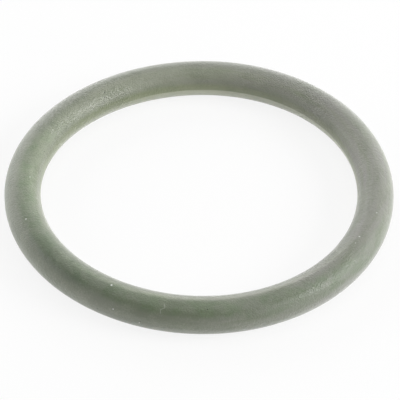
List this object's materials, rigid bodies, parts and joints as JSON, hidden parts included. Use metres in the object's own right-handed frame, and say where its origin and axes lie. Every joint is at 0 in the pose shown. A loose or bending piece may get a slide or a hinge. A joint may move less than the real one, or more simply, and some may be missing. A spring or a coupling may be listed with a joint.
{
  "type": "o-ring",
  "caption": "Round-section moulded rubber o-ring in grey-green, for sealing a round pipe or fitting in its groove.",
  "frame": {"origin": "centre of the ring, on its axis and in the parting plane, half way up its height", "axes": "+Z along the ring's axis, upwards as it lies flat; X and Y are alike, because the ring is round"},
  "size_m": [0.043, 0.043, 0.004],
  "materials": {
    "seal_rubber": "satin grey-green moulded rubber with a fine grain and a pale dusty bloom"
  },
  "bodies": {
    "root": {"o_ring": "seal_rubber"}
  },
  "joints": []
}
